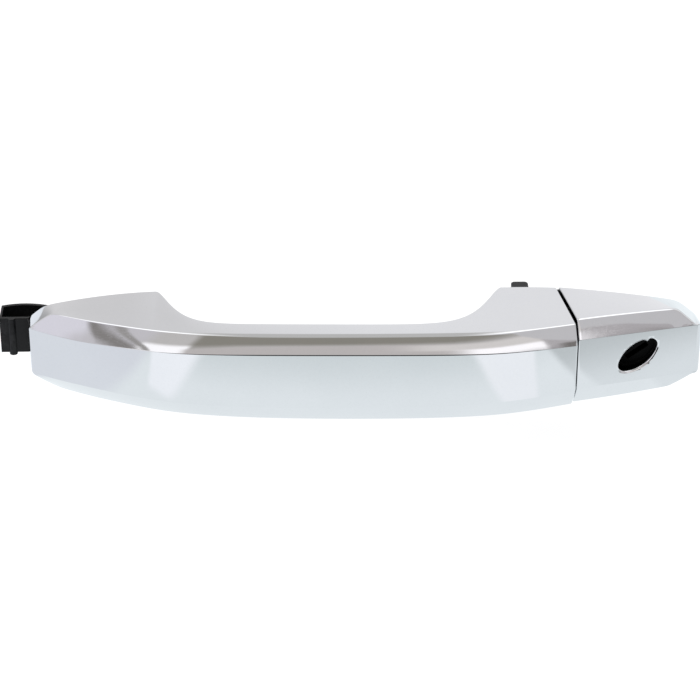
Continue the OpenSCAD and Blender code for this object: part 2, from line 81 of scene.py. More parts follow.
class Web:
    """Short hand for wiring a node tree."""

    def __init__(self, tree):
        self.tree = tree

    def node(self, kind, **values):
        made = self.tree.nodes.new(kind)
        for key, value in values.items():
            setattr(made, key, value)
        return made

    def wire(self, source, target):
        self.tree.links.new(source, target)

    def put(self, value, socket):
        if isinstance(value, bpy.types.NodeSocket):
            self.wire(value, socket)
        else:
            socket.default_value = value

    def sum(self, operation, *values, clamp=False):
        made = self.node("ShaderNodeMath", operation=operation, use_clamp=clamp)
        for value, socket in zip(values, made.inputs):
            self.put(value, socket)
        return made.outputs[0]

    def ramp(self, value, low, high, bottom=0.0, top=1.0, kind="SMOOTHSTEP"):
        made = self.node("ShaderNodeMapRange", interpolation_type=kind)
        for v, socket in zip((value, low, high, bottom, top), made.inputs):
            self.put(v, socket)
        return made.outputs[0]

    def blend(self, mask, first, second):
        made = self.node("ShaderNodeMix", data_type="RGBA")
        self.put(mask, made.inputs["Factor"])
        for value, socket in ((first, made.inputs[6]), (second, made.inputs[7])):
            self.put(colour(value) if isinstance(value, tuple) else value, socket)
        return made.outputs[2]

    def noise(self, place, scale, detail=2.0, rough=0.5):
        made = self.node("ShaderNodeTexNoise")
        self.wire(place, made.inputs["Vector"])
        for value, name in ((scale, "Scale"), (detail, "Detail"), (rough, "Roughness")):
            self.put(value, made.inputs[name])
        return made.outputs["Fac"]


def colour(rgb):
    return (rgb[0], rgb[1], rgb[2], 1.0)


# Radiance of the studio: in front, behind to the left and right, and overhead at the middle and the sides.
FRONT_ROOM = (0.72, 0.685, 0.675)
BACK_LEFT, BACK_RIGHT = (0.90, 0.885, 0.895), (1.11, 1.105, 1.13)
CEILING_MIDDLE, CEILING_SIDES = (0.72, 0.71, 0.70), (1.85, 1.84, 1.86)
BACKDROP = (1.05, 1.05, 1.05)

# Soft panels and dark gaps, painted in this order. Each is: left and right azimuth from the front, low and high
# elevation (all in degrees), softness sideways and upwards, slant (azimuth lost per degree up), colour.
PANELS = [
    # above the grip: a dark gap, a grey side panel and a brighter one at the far left
    (-22, 36, 38, 58, 8, 8, 0, (0.37, 0.35, 0.31)),
    (-46, -24, 34, 60, 4, 4, 0, (0.76, 0.73, 0.72)),
    (-100, -46, 6, 62, 9, 5, 0, (0.82, 0.79, 0.83)),
    (-100, -62, 6, 60, 8, 5, 0, (1.03, 1.0, 1.09)),
    # a low white panel, and two dark slanted bars beside it
    (-41, -23, 8, 33.5, 2.5, 4, 0, (1.55, 1.52, 1.55)),
    (-12.6, -11.2, 28, 44, 4.2, 5, 1.08, (0.34, 0.32, 0.31)),
    (-7.0, -5.6, 30, 46, 1.4, 4, 1.08, (0.46, 0.44, 0.43)),
    # middle and right, brighter towards the right
    (-20, 6, 12, 30, 6, 4, 0, (0.74, 0.69, 0.68)),
    (6, 33, 23, 29, 5, 4, 0, (0.96, 0.91, 0.89)),
    (14, 33.6, 4, 20.5, 8, 3, 0, (1.58, 1.53, 1.56)),
    # mauve wall at the right, seen by the cap, with a lighter slanted part
    (34.2, 70, -2, 60, 1.0, 3, 0, (0.62, 0.585, 0.60)),
    (49.2, 90, -2, 60, 0.7, 3, 0.62, (0.78, 0.76, 0.78)),
    (36.5, 42, 8, 16, 1.5, 2, 0, (0.25, 0.23, 0.22)),
    # horizon: dark in front, grey at the sides
    (-26, 30, -9, 13, 7, 4, 0, (0.05, 0.05, 0.05)),
    (35, 70, -9, 5, 4, 4, 0, (0.42, 0.42, 0.43)),
    (100, 150, -9, 7, 20, 6, 0, (0.45, 0.45, 0.46)),
    (-150, -100, -9, 7, 20, 6, 0, (0.45, 0.45, 0.46)),
]


def between(web, value, low, high, soft):
    """One from low to high, falling to zero over the softness on both sides."""
    return web.sum("MULTIPLY", web.ramp(value, low - soft, low), web.ramp(value, high, high + soft, 1.0, 0.0))


def build_studio():
    """World radiance by direction; the camera itself sees a plain white backdrop."""
    world = bpy.data.worlds.new("studio")
    bpy.context.scene.world = world
    world.use_nodes = True
    tree = world.node_tree
    tree.nodes.clear()
    web = Web(tree)
    ray = web.node("ShaderNodeTexCoord").outputs["Generated"]
    split = web.node("ShaderNodeSeparateXYZ")
    web.wire(ray, split.inputs[0])
    x, y, z = split.outputs
    degree = 180 / math.pi
    elevation = web.sum("MULTIPLY", web.sum("ARCSINE", z), degree)
    azimuth = web.sum("MULTIPLY", web.sum("ARCTAN2", x, web.sum("MULTIPLY", y, -1.0)), degree)
    back = web.blend(web.ramp(x, -0.16, 0.06), BACK_LEFT, BACK_RIGHT)
    level = web.blend(web.ramp(y, -0.25, 0.25), FRONT_ROOM, back)
    for panel in PANELS:
        left, right, low, high, side_soft, top_soft, slant, tone = panel
        across = web.sum("ADD", azimuth, web.sum("MULTIPLY", elevation, slant)) if slant else azimuth
        mask = web.sum("MULTIPLY", between(web, across, left, right, side_soft),
                       between(web, elevation, low, high, top_soft))
        level = web.blend(mask, level, tone)
    ceiling = web.blend(web.ramp(web.sum("ABSOLUTE", x), 0.1, 0.28), CEILING_MIDDLE, CEILING_SIDES)
    level = web.blend(web.ramp(elevation, 50, 66), level, ceiling)
    camera_ray = web.node("ShaderNodeLightPath").outputs["Is Camera Ray"]
    shown = web.blend(camera_ray, level, BACKDROP)
    out = web.node("ShaderNodeBackground")
    web.wire(shown, out.inputs["Color"])
    end = web.node("ShaderNodeOutputWorld")
    web.wire(out.outputs[0], end.inputs["Surface"])


build_studio()


FLOOR_RADIUS = 3.0
FLOOR_GLOW, FLOOR_PAPER = 0.87, 0.26


def pool_mask(web, x, y, skew, edge, skew_back, back_edge, fade):
    """Light pool with two straight, slanting sides; it fades out towards the part."""
    front = web.sum("SUBTRACT", x, web.sum("MULTIPLY", web.sum("ADD", y, skew[0]), skew[1]))
    back = web.sum("ADD", front if skew_back[2] else x,
                   web.sum("MULTIPLY", web.sum("ADD", y, skew_back[0]), skew_back[1]))
    mask = web.sum("MULTIPLY", web.ramp(front, *edge), web.ramp(back, *back_edge))
    return web.sum("MULTIPLY", mask, web.ramp(y, *fade))


def floor_tone(web, x, y):
    """What the plating mirrors of the floor, by place in millimetres."""
    tone = web.blend(web.ramp(y, -140, -96), (0.93, 1.0, 1.025), (1.14, 1.20, 1.235))
    under_cap = web.blend(web.ramp(y, -110, -72), (0.76, 0.81, 0.83), (1.06, 1.12, 1.155))
    tone = web.blend(web.ramp(x, 121, 126), tone, under_cap)
    under_hinge = web.blend(web.ramp(y, -110, -60), (1.02, 1.05, 1.13), (1.04, 1.08, 1.15))
    tone = web.blend(web.ramp(x, -122, -134), tone, under_hinge)
    left_pool = pool_mask(web, x, y, (100.0, 0.5), (-121, -116), (122.0, 0.8, True), (-64, -76), (-84, -92))
    tone = web.blend(left_pool, tone, (1.31, 1.34, 1.40))
    right_pool = pool_mask(web, x, y, (128.0, 0.3), (60, 68), (128.0, 0.5, False), (122, 117), (-70, -92))
    tone = web.blend(right_pool, tone, (1.27, 1.30, 1.35))
    wide = web.sum("DIVIDE", web.sum("ABSOLUTE", x), web.sum("MULTIPLY", y, -1.0))
    far_front = web.sum("MULTIPLY", web.ramp(y, -165, -210), web.ramp(wide, 0.8, 0.5))
    tone = web.blend(far_front, tone, (0.06, 0.06, 0.06))
    return web.blend(web.ramp(y, -500, -1500), tone, (0.3, 0.31, 0.32))


def floor_material():
    """White paper with a faint shadow to the eye, softly graded where the plating mirrors it."""
    material = bpy.data.materials.new("white paper")
    material.use_nodes = True
    tree = material.node_tree
    tree.nodes.clear()
    web = Web(tree)
    place = web.node("ShaderNodeTexCoord").outputs["Object"]
    split = web.node("ShaderNodeSeparateXYZ")
    web.wire(place, split.inputs[0])
    x, y = (web.sum("MULTIPLY", split.outputs[k], 1.0 / MM) for k in (0, 1))
    mirrored = web.node("ShaderNodeEmission")
    web.wire(floor_tone(web, x, y), mirrored.inputs["Color"])
    bright = web.node("ShaderNodeEmission")
    bright.inputs["Color"].default_value = colour((FLOOR_GLOW,) * 3)
    paper = web.node("ShaderNodeBsdfDiffuse")
    paper.inputs["Color"].default_value = colour((FLOOR_PAPER,) * 3)
    shown = web.node("ShaderNodeAddShader")
    web.wire(bright.outputs[0], shown.inputs[0])
    web.wire(paper.outputs[0], shown.inputs[1])
    seen = web.node("ShaderNodeMixShader")
    web.wire(web.node("ShaderNodeLightPath").outputs["Is Camera Ray"], seen.inputs[0])
    web.wire(mirrored.outputs[0], seen.inputs[1])
    web.wire(shown.outputs[0], seen.inputs[2])
    end = web.node("ShaderNodeOutputMaterial")
    web.wire(seen.outputs[0], end.inputs["Surface"])
    return material


def build_floor():
    bm = bmesh.new()
    bmesh.ops.create_circle(bm, cap_ends=True, segments=96, radius=FLOOR_RADIUS)
    mesh = bpy.data.meshes.new("floor")
    bm.to_mesh(mesh)
    bm.free()
    mesh.transform(Matrix.Translation((0, 0, FLOOR_Z)))
    mesh.materials.append(floor_material())
    floor = bpy.data.objects.new("floor", mesh)
    bpy.context.scene.collection.objects.link(floor)


build_floor()


# ---------------------------------------------------------------- shared surface effects

def effect(name, inputs, outputs):
    """Shader node group with named sockets; inputs are (name, kind, default)."""
    group = bpy.data.node_groups.new(name, "ShaderNodeTree")
    for label, kind, value in inputs:
        made = group.interface.new_socket(label, in_out="INPUT", socket_type=kind)
        if value is not None:
            made.default_value = value
    for label, kind in outputs:
        group.interface.new_socket(label, in_out="OUTPUT", socket_type=kind)
    web = Web(group)
    return group, web, web.node("NodeGroupInput"), web.node("NodeGroupOutput")


def grain_effect():
    """Moulded grain: fine cells over a slower waviness, as a height."""
    group, web, given, out = effect(
        "moulded grain",
        [("Place", "NodeSocketVector", None), ("Scale", "NodeSocketFloat", 1500.0),
         ("Wave", "NodeSocketFloat", 0.3)],
        [("Height", "NodeSocketFloat")])
    cells = web.node("ShaderNodeTexVoronoi", feature="SMOOTH_F1")
    web.wire(given.outputs["Place"], cells.inputs["Vector"])
    web.wire(given.outputs["Scale"], cells.inputs["Scale"])
    slow = web.noise(given.outputs["Place"], web.sum("MULTIPLY", given.outputs["Scale"], 0.06), 2.0)
    web.wire(web.sum("ADD", cells.outputs["Distance"], web.sum("MULTIPLY", slow, given.outputs["Wave"])),
             out.inputs["Height"])
    return group


def mottle_effect():
    """Two-scale blotches around one half, for tone and roughness."""
    group, web, given, out = effect(
        "mottle",
        [("Place", "NodeSocketVector", None), ("Coarse", "NodeSocketFloat", 60.0),
         ("Fine", "NodeSocketFloat", 600.0)],
        [("Value", "NodeSocketFloat")])
    coarse = web.noise(given.outputs["Place"], given.outputs["Coarse"], 3.0, 0.55)
    fine = web.noise(given.outputs["Place"], given.outputs["Fine"], 2.0, 0.6)
    both = web.sum("ADD", web.sum("MULTIPLY", coarse, 0.65), web.sum("MULTIPLY", fine, 0.35))
    web.wire(web.ramp(both, 0.3, 0.7, kind="LINEAR"), out.inputs["Value"])
    return group


def scratch_effect():
    """Sparse hairlines: thin ridges of a noise stretched along one direction."""
    group, web, given, out = effect(
        "hairlines",
        [("Place", "NodeSocketVector", None), ("Stretch", "NodeSocketVector", (40.0, 900.0, 900.0)),
         ("Width", "NodeSocketFloat", 0.012)],
        [("Mask", "NodeSocketFloat")])
    place = web.node("ShaderNodeVectorMath", operation="MULTIPLY")
    web.wire(given.outputs["Place"], place.inputs[0])
    web.wire(given.outputs["Stretch"], place.inputs[1])
    line = web.noise(place.outputs[0], 1.0, 1.0)
    gate = web.noise(given.outputs["Place"], 55.0, 1.0)
    ridge = web.sum("ABSOLUTE", web.sum("SUBTRACT", line, 0.5))
    thin = web.ramp(ridge, 0.0, given.outputs["Width"], 1.0, 0.0, kind="LINEAR")
    web.wire(web.sum("MULTIPLY", thin, web.ramp(gate, 0.5, 0.62)), out.inputs["Mask"])
    return group


def wear_and_sheen_effect():
    """Lighter convex edges, broken up by noise: partly wear from rubbing, partly a painted highlight along the
    edges.
    """
    group, web, given, out = effect(
        "worn edges and painted sheen",
        [("Place", "NodeSocketVector", None), ("Amount", "NodeSocketFloat", 0.5)],
        [("Mask", "NodeSocketFloat")])
    point = web.node("ShaderNodeNewGeometry").outputs["Pointiness"]
    # Convex edges found by pointiness: partly wear, partly painted edge highlight.
    edge = web.ramp(point, 0.515, 0.56)
    spots = web.ramp(web.noise(given.outputs["Place"], 420.0, 4.0, 0.65), 0.42, 0.62)
    web.wire(web.sum("MULTIPLY", web.sum("MULTIPLY", edge, spots), given.outputs["Amount"]), out.inputs["Mask"])
    return group


GRAIN = grain_effect()
MOTTLE = mottle_effect()
HAIRLINES = scratch_effect()
WEAR_AND_SHEEN = wear_and_sheen_effect()


class Finish(Web):
    """Material with one Principled shader, reading Object coordinates."""

    def __init__(self, name, **plain):
        material = bpy.data.materials.new(name)
        material.use_nodes = True
        super().__init__(material.node_tree)
        self.material = material
        self.tree.nodes.clear()
        self.shader = self.node("ShaderNodeBsdfPrincipled")
        end = self.node("ShaderNodeOutputMaterial")
        self.wire(self.shader.outputs[0], end.inputs["Surface"])
        self.place = self.node("ShaderNodeTexCoord").outputs["Object"]
        for key, value in plain.items():
            self.shader.inputs[key.replace("_", " ")].default_value = value

    def use(self, group, **values):
        made = self.node("ShaderNodeGroup", node_tree=group)
        self.wire(self.place, made.inputs["Place"])
        for key, value in values.items():
            self.put(value, made.inputs[key])
        return made.outputs[0]

    def tone(self, mask, first, second):
        self.wire(self.blend(mask, first, second), self.shader.inputs["Base Color"])

    def gloss(self, value):
        self.wire(value, self.shader.inputs["Roughness"])

    def bump(self, height, strength, distance):
        made = self.node("ShaderNodeBump")
        made.inputs["Strength"].default_value = strength
        made.inputs["Distance"].default_value = distance
        self.wire(height, made.inputs["Height"])
        self.wire(made.outputs[0], self.shader.inputs["Normal"])


def chrome_finish():
    """Bright plating: mirror with a breath of haze, orange peel and polishing hairlines."""
    f = Finish("bright chrome", Metallic=1.0)
    haze = f.use(MOTTLE, Coarse=35.0, Fine=900.0)
    lines = f.use(HAIRLINES, Stretch=(30.0, 1100.0, 1100.0), Width=0.01)
    f.tone(haze, (0.612, 0.622, 0.632), (0.640, 0.648, 0.658))
    f.gloss(f.sum("ADD", f.ramp(haze, 0, 1, 0.035, 0.065, "LINEAR"), f.sum("MULTIPLY", lines, 0.05)))
    peel = f.noise(f.place, 130.0, 2.0)
    f.bump(f.sum("SUBTRACT", peel, f.sum("MULTIPLY", lines, 0.12)), 0.02, 0.0004)
    return f.material


def plastic_finish(name, dark, light, rough, grain, depth, fleck=None, shine=0.5):
    f = Finish(name, Specular_IOR_Level=shine)
    tone = f.use(MOTTLE, Coarse=90.0, Fine=1400.0)
    wear_and_sheen = f.use(WEAR_AND_SHEEN, Amount=0.55)
    base = f.blend(tone, dark, light)
    # Lighter colour at convex edges: partly wear, partly a painted highlight along the edges.
    edge_wear_sheen = tuple(min(1.0, 1.9 * c + 0.012) for c in light)
    base = f.blend(wear_and_sheen, base, edge_wear_sheen)
    if fleck:
        fibre = f.use(HAIRLINES, Stretch=(500.0, 2600.0, 1500.0), Width=0.02)
        base = f.blend(f.sum("MULTIPLY", fibre, 0.6), base, fleck)
    f.wire(base, f.shader.inputs["Base Color"])
    f.gloss(f.sum("ADD", f.ramp(tone, 0, 1, rough - 0.05, rough + 0.07, "LINEAR"),
                  f.sum("MULTIPLY", wear_and_sheen, -0.1)))
    f.bump(f.use(GRAIN, Scale=grain, Wave=0.4), 0.35, depth)
    return f.material


def rubber_finish():
    f = Finish("moulded rubber", Specular_IOR_Level=0.35)
    dust = f.use(MOTTLE, Coarse=120.0, Fine=900.0)
    f.tone(dust, (0.010, 0.010, 0.011), (0.024, 0.024, 0.025))
    f.gloss(f.ramp(dust, 0, 1, 0.68, 0.86, "LINEAR"))
    f.bump(f.use(GRAIN, Scale=2600.0, Wave=0.8), 0.4, 0.00006)
    return f.material


def steel_finish(name, dark, light, rough, stretch, tint=None):
    f = Finish(name, Metallic=1.0)
    spots = f.use(MOTTLE, Coarse=160.0, Fine=1500.0)
    lines = f.use(HAIRLINES, Stretch=stretch, Width=0.05)
    base = f.blend(spots, dark, light)
    if tint:
        drift = f.ramp(f.noise(f.place, 140.0, 2.0), 0.42, 0.66)
        base = f.blend(f.sum("MULTIPLY", drift, 0.45), base, tint)
    f.wire(base, f.shader.inputs["Base Color"])
    f.gloss(f.sum("ADD", f.ramp(spots, 0, 1, rough - 0.06, rough + 0.08, "LINEAR"),
                  f.sum("MULTIPLY", lines, 0.12)))
    f.bump(f.sum("ADD", spots, lines), 0.12, 0.00004)
    return f.material


FINISHES = {
    "chrome": chrome_finish(),
    "black_plastic": plastic_finish("black glass-filled plastic", (0.0026, 0.0028, 0.0031),
                                    (0.0062, 0.0064, 0.0070), 0.38, 1900.0, 0.00005, shine=0.2),
    # The key guide's own plastic is the black plastic above; this darker copy is painted shade deep inside the
    # keyhole.
    "keyhole_shade_plastic": plastic_finish("shaded black plastic", (0.0009, 0.0009, 0.0010),
                                    (0.0018, 0.0018, 0.0020), 0.55, 1900.0, 0.00005, shine=0.06),
    "dark_plastic": plastic_finish("dark moulded plastic", (0.030, 0.031, 0.033), (0.052, 0.053, 0.056), 0.42,
                                   1700.0, 0.00006, fleck=(0.12, 0.12, 0.12)),
    "ivory_plastic": plastic_finish("ivory bearing plastic", (0.60, 0.58, 0.49), (0.70, 0.68, 0.60), 0.38,
                                    2200.0, 0.00003),
    "rubber": rubber_finish(),
    "zinc_steel": steel_finish("zinc-plated steel", (0.50, 0.51, 0.53), (0.66, 0.67, 0.68), 0.30,
                               (300.0, 1500.0, 300.0), tint=(0.66, 0.60, 0.42)),
    "spring_steel": steel_finish("drawn spring steel", (0.30, 0.30, 0.32), (0.42, 0.42, 0.44), 0.27,
                                 (200.0, 1800.0, 1800.0)),
    "die_cast": steel_finish("die-cast zinc", (0.40, 0.39, 0.37), (0.56, 0.55, 0.52), 0.42,
                             (700.0, 700.0, 700.0)),
    "brass": steel_finish("turned brass", (0.62, 0.44, 0.17), (0.76, 0.57, 0.26), 0.25, (1500.0, 200.0, 200.0)),
}


# ---------------------------------------------------------------- piece helpers

def object_from(name, mesh):
    piece = bpy.data.objects.new(name, mesh)
    bpy.context.scene.collection.objects.link(piece)
    return piece


def mesh_from(name, points, faces):
    mesh = bpy.data.meshes.new(name)
    mesh.from_pydata([Vector(p) * MM for p in points], [], faces)
    bm = bmesh.new()
    bm.from_mesh(mesh)
    bmesh.ops.recalc_face_normals(bm, faces=bm.faces)
    bm.to_mesh(mesh)
    bm.free()
    return mesh


EDGE_ANGLE = 40.0


def soften(piece, width=0.0):
    """Rounded edges, where a width is given, normals that keep flats flat, and no faces of many corners."""
    for polygon in piece.data.polygons:
        polygon.use_smooth = True
    if width:
        bevel = piece.modifiers.new("edges", "BEVEL")
        bevel.width = width * MM
        bevel.segments = 2
        bevel.limit_method = "ANGLE"
        bevel.angle_limit = math.radians(EDGE_ANGLE)
        bevel.miter_outer = "MITER_ARC"
    weight = piece.modifiers.new("normals", "WEIGHTED_NORMAL")
    weight.keep_sharp = True
    weight.weight = 80
    split = piece.modifiers.new("flat faces", "TRIANGULATE")
    split.min_vertices = 5
    split.keep_custom_normals = True


def finish_piece(piece, slot, body, nodes):
    """Gives a piece its finish and body, and takes the place of CAD nodes."""
    piece.data.materials.clear()
    piece.data.materials.append(FINISHES[slot])
    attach(piece, body)
    if nodes:
        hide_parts(*nodes)
    return piece


def welded(node, join=True):
    """Clean copy of a CAD node's mesh: doubles merged and, where asked, flat triangles joined."""
    bm = bmesh.new()
    bm.from_mesh(frame["nodes"][node].data)
    bmesh.ops.remove_doubles(bm, verts=bm.verts, dist=4e-6)
    if join:
        bmesh.ops.dissolve_limit(bm, angle_limit=math.radians(0.6), verts=bm.verts, edges=bm.edges)
    mesh = bpy.data.meshes.new(node)
    bm.to_mesh(mesh)
    bm.free()
    return mesh


# Flat sheets with many openings keep their triangles, so that no face spans an opening.
SHEETS = ("front_gasket", "rear_gasket")


def dressed(node, slot, width):
    """A CAD node's shape with rounded edges and its finish."""
    piece = object_from(node + "_finished", welded(node, node not in SHEETS))
    soften(piece, width)
    return finish_piece(piece, slot, BODY_OF[node], [node])


# ---------------------------------------------------------------- plated shells
# Outlines in millimetres: depth is measured outwards from the seat plane, heights from the middle.

SEAT_Y = -2.4
FRONT_X, PARTING_X, CAP_END_X = -111.8, 80.4, 125.0
GRIP_DEPTH, FRONT_SLOPE, REAR_SLOPE = 38.6, 0.325, 0.275
FACE_HALF, BODY_HALF, BEVEL_DEPTH = 10.75, 16.95, 3.6
GAP_FRONT, GAP_REAR, GAP_DEPTH = -69.75, 55.25, 26.0
WALL = 1.6
CAP_START = PARTING_X + 1.0
LEAN = 5.3 / 31
BELLY = 0.7  # how much lower the lower bevel hangs than the upper one stands
ARC_POINTS = 6
KEY_X, KEY_Z, KEY_TILT = 103.0, 0.4, math.radians(38)
KEY_LENGTH, KEY_WIDTH, KEY_ROUND = 8.0, 4.6, 1.0


def soft_min(a, b, r):
    """Smaller of two values, the corner between them rounded off."""
    return -r * math.log(math.exp(-a / r) + math.exp(-b / r))


def ease(u, w):
    """Zero before u = 0 and rising after it, with a rounded start."""
    return (math.sqrt(u * u + w * w) + u) / 2


def share(a, b, x):
    """How far x is from a to b, held between zero and one."""
    return max(0.0, min(1.0, (x - a) / (b - a)))


def leaned(x, depth, w):
    """X of a point at some depth in a leaning cross-section."""
    return x - w * LEAN * (31 - depth)


def face_depth(x):
    return (GRIP_DEPTH - 0.000286 * (x - 40) ** 2 - FRONT_SLOPE * ease(-65.2 - x, 15.3)
            - REAR_SLOPE * ease(x - 54.1, 16.5) - 0.0043 * max(0, -90 - x) ** 2)


def grip_lean(x):
    return share(54, PARTING_X - WALL, x) + share(-100, FRONT_X, x)


def grip_section(x):
    """Depth and half heights at X: face, crease, bevel depth, seat."""
    w = grip_lean(x)
    f = leaned(x, face_depth(x), w)
    depth = face_depth(f)
    bevel = BEVEL_DEPTH + 0.014 * (math.hypot(f + 35, 10) - (f + 35))
    c, s = leaned(x, depth - bevel, w), leaned(x, 0, w)
    seat = BODY_HALF - 0.005 * max(0, -66 - s) ** 1.84 - 0.0018 * max(0, s - 60) ** 2
    middle = share(-62, -32, x) * share(66, 36, x)
    return {"depth": depth, "face": max(9.1, FACE_HALF - 0.0002 * (f + 6) ** 2), "bevel": bevel,
            "brow": 0.95 + 1.7 * middle, "fold": 0.55 + 0.75 * middle,
            "crease": soft_min(BODY_HALF - 0.00015 * (c - 8) ** 2, 9.8 + 0.6 * (c + 115), 0.5),
            "seat": soft_min(seat, 6.4 + 0.9 * (s + 116.5), 0.8)}


def cap_depth(x):
    return 27.42 - 0.2475 * (x - 82)


def cap_lean(x):
    return share(100, CAP_START + WALL, x) - 0.5 * share(112, CAP_END_X, x)


def cap_section(x):
    w = cap_lean(x)
    f = leaned(x, cap_depth(x), w)
    depth, face, bevel = cap_depth(f), 10.04 - 0.009 * (f - 82), 3.45
    c, s = leaned(x, depth - bevel, w), leaned(x, 0, w)
    crease = soft_min(16.75 - 0.0008 * (c - 84) ** 2, 10.56 + 0.79 * (123.5 - c), 0.5)
    return {"depth": depth, "face": face, "bevel": bevel, "crease": max(face + 0.3, crease),
            "brow": 1.15, "fold": 0.6,
            "seat": soft_min(16.05 - 0.105 * (s - 82) - 0.001 * (s - 82) ** 2, 4.2 + 0.88 * (127.2 - s), 0.8)}


def rise(u, length):
    return (1 - math.exp(-max(0.0, u) / length)) ** 1.85


def bay(x, grow=0.0):
    """Depth of the finger gap's back wall."""
    return ((GAP_DEPTH + 0.03 * x + grow) * rise(x - GAP_FRONT + grow, 5.75)
            * rise(GAP_REAR - x + grow, 7.0))


def rounded(points, radii, runs, crowns):
    """Closed outline with arcs at its corners; runs are the inner points on each side, crowns its bulge."""
    count = len(points)
    stops = []
    for i, here in enumerate(points):
        here = Vector(here)
        before, after = Vector(points[i - 1]), Vector(points[(i + 1) % count])
        a, b = before - here, after - here
        if radii[i] <= 0:
            stops.append([here])
            continue
        turn = math.pi - a.angle(b)
        cut = min(radii[i] * math.tan(turn / 2), 0.42 * a.length, 0.42 * b.length)
        p, q = here + a.normalized() * cut, here + b.normalized() * cut
        w = math.cos(turn / 2)
        arc = []
        for k in range(ARC_POINTS):
            t = k / (ARC_POINTS - 1)
            parts = ((1 - t) ** 2, 2 * w * t * (1 - t), t * t)
            arc.append((p * parts[0] + here * parts[1] + q * parts[2]) / sum(parts))
        stops.append(arc)
    ring = []
    for i in range(count):
        ring += stops[i]
        start, end = stops[i][-1], stops[(i + 1) % count][0]
        along = end - start
        out = Vector((-along.y, along.x)).normalized() if along.length > 1e-9 else Vector((0, 0))
        for k in range(runs[i]):
            t = (k + 1) / (runs[i] + 1)
            ring.append(start + along * t + out * (4 * crowns[i] * t * (1 - t)))
    return ring


def shell_ring(s, back, inset, closed, crown):
    """One cross-section, as depth and height, from the upper seat edge round the outside and back inside."""
    fh, ch, sh = s["face"] - inset, s["crease"] - inset, s["seat"] - inset
    d = s["depth"] - inset * 0.9
    full = s["bevel"] * min(1, (s["crease"] - s["face"]) / 5.5)
    outer = [(back, sh), (d - full, ch), (d, fh)]
    c, f = max(ch - WALL, 1.2), max(fh - 0.6 * WALL, 0.8)
    lip = max(sh - WALL, 1.4)
    if closed:
        inner = [(back + 0.01, lip), (back + 0.6, lip - 0.1), (back + 0.6, lip * 0.5)]
    else:
        inner = [(back + 0.01, lip), (max(d - full - 0.75 * WALL, back + 0.6), c), (d - WALL, f)]
    drop = (0.45, BELLY, 0.0)
    lower = [(p, -q - more) for (p, q), more in zip(outer, drop)]
    ring = outer + lower[::-1] + [(p, -q) for p, q in inner] + inner[::-1]
    radii = [0.35, s["brow"], s["fold"], s["fold"], 0.75, 0.35] + [0.0] * 6
    runs = [7, 5, 9, 5, 7, 0, 0, 0, 0, 0, 0, 0]
    crowns = [0.1, crown, 0.0, crown, 0.1] + [0.0] * 7
    return rounded(ring, radii, runs, crowns)


def lofted(name, stations):
    """Closed skin through rings of equal length, ends filled."""
    points, faces = [], []
    count = len(stations[0])
    for ring in stations:
        points += ring
    for i in range(len(stations) - 1):
        for j in range(count):
            k = (j + 1) % count
            faces.append((i * count + j, i * count + k, (i + 1) * count + k, (i + 1) * count + j))
    last = (len(stations) - 1) * count
    faces.append(tuple(range(count)))
    faces.append(tuple(last + j for j in range(count - 1, -1, -1)))
    return mesh_from(name, points, faces)


def spread(start, end, step):
    count = max(1, round((end - start) / step))
    return [start + (end - start) * i / count for i in range(count)]


def edge_steps(radius, count=4):
    """Distance from the end and inset of a rounded end."""
    return [(radius * (1 - math.cos(a)), radius * (1 - math.sin(a)))
            for a in (math.pi / 2 * i / count for i in range(count + 1))]


def placed(ring, x, w):
    return [(leaned(x, p.x, w), SEAT_Y - p.x, p.y) for p in ring]


def shell_stations(ends, inner_x, section, back, lean, crown):
    """ends: (x, radius) of both ends; inner_x: stations between them."""
    rows = []
    (x0, r0), (x1, r1) = ends
    for away, inset in edge_steps(r0):
        rows.append((x0 + away, inset))
    rows += [(x, 0.0) for x in inner_x if x0 + r0 + 0.05 < x < x1 - r1 - 0.05]
    rows += [(x1 - away, inset) for away, inset in edge_steps(r1)[::-1]]
    out = []
    for x, inset in rows:
        closed = x <= x0 + WALL or x >= x1 - WALL
        out.append(placed(shell_ring(section(x), back(x), inset, closed, crown), x, lean(x)))
    return out


def wall_steps(x0, x1):
    return [x0 + WALL, x0 + WALL + 0.04, x1 - WALL - 0.04, x1 - WALL]


def grip_mesh():
    xs = spread(FRONT_X, -71, 0.9) + spread(-71, -50, 0.5) + spread(-50, 34, 1.2) + spread(34, 57, 0.5)
    xs += spread(57, PARTING_X, 0.9) + wall_steps(FRONT_X, PARTING_X)
    return lofted("grip_chrome", shell_stations(((FRONT_X, 0.9), (PARTING_X, 0.4)), sorted(xs),
                                                grip_section, bay, grip_lean, 0.16))


def cap_mesh():
    xs = spread(CAP_START, 112, 1.1) + spread(112, CAP_END_X, 0.7) + wall_steps(CAP_START, CAP_END_X)
    return lofted("cap_chrome", shell_stations(((CAP_START, 0.4), (CAP_END_X, 1.3)), sorted(xs),
                                               cap_section, lambda x: 0.0, cap_lean, 0.1))


grip_chrome = object_from("grip_chrome", grip_mesh())
soften(grip_chrome)
finish_piece(grip_chrome, "chrome", "grip", ["grip_cover"])


def oval_points(length, width, segments=20):
    """Pointed oval of four arcs."""
    end = 0.6 * width
    reach = length - end
    side = (reach ** 2 + width ** 2 - end ** 2) / (2 * (width - end))
    swing = math.atan2(reach, side - width)
    points = []
    for centre, radius, a0, a1 in (((reach, 0), end, -(math.pi / 2 - swing), math.pi / 2 - swing),
                                   ((0, width - side), side, math.pi / 2 - swing, math.pi / 2 + swing),
                                   ((-reach, 0), end, math.pi / 2 + swing, 3 * math.pi / 2 - swing),
                                   ((0, side - width), side, 3 * math.pi / 2 - swing, 3 * math.pi / 2 + swing)):
        for k in range(segments):
            a = a0 + (a1 - a0) * k / segments
            points.append((centre[0] + radius * math.cos(a), centre[1] + radius * math.sin(a)))
    return points


